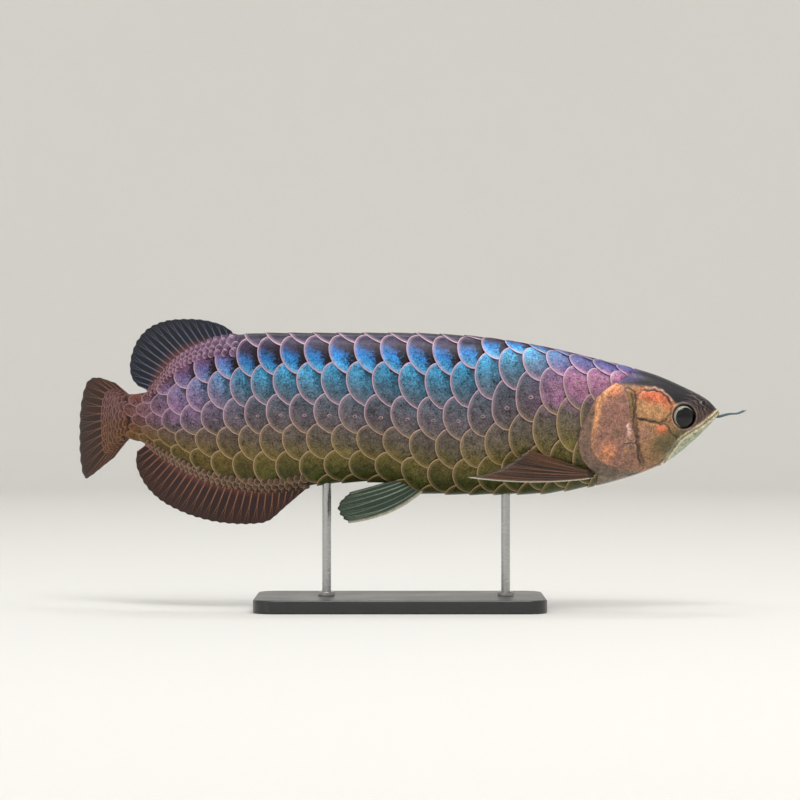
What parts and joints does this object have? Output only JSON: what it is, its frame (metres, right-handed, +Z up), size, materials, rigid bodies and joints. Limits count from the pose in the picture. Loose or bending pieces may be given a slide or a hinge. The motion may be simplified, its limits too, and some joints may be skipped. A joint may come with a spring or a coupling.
{
  "type": "asian arowana model",
  "caption": "Still, life-size model of an Asian arowana, a long fish with large scales and rear fins, its tail bent to one side, held over a flat base by rods.",
  "frame": {"origin": "centre of the underside of the stand's flat base", "axes": "+X towards the fish's snout, +Y to its left side, +Z up"},
  "size_m": [0.6085, 0.1416, 0.2615],
  "materials": {
    "scales": "wet, pearly scales, blue above and olive below, with pale rims",
    "tail_stem": "wet, pearly small scales, purple to orange brown",
    "head": "wet, smooth bone plates under thin skin, gold and dark brown",
    "gill": "wet, pearly gold and pink plate with a soft grey rim",
    "jaw": "wet, pale silver green skin",
    "eye": "clear wet eye, large dark pupil with a thin pale ring",
    "red_fin": "thin wet membrane, dark red with paler rays",
    "dark_fin": "thin wet membrane, blue black with paler rays",
    "tail_fin": "thin wet membrane, orange red with paler rays",
    "pale_fin": "thin wet membrane, grey green with whitish rays",
    "barbel": "soft wet skin, blue grey",
    "stand": "satin black lacquer",
    "rod": "fine brushed steel"
  },
  "bodies": {
    "root": {"head": "head", "lower_jaw": "jaw", "gill_cover_right": "gill", "gill_cover_left": "gill", "eye_right": "eye", "eye_left": "eye", "barbel_right": "barbel", "barbel_left": "barbel", "torso_front": "scales", "torso_middle": "scales", "torso_rear": "scales", "tail_stem": "tail_stem", "fin_dorsal": "dark_fin", "fin_anal": "red_fin", "fin_caudal": "tail_fin", "fin_pectoral_right": "red_fin", "fin_pectoral_left": "red_fin", "fin_pelvic_right": "pale_fin", "fin_pelvic_left": "pale_fin", "stand_base": "stand", "stand_rod_front": "rod", "stand_rod_rear": "rod"}
  },
  "joints": []
}
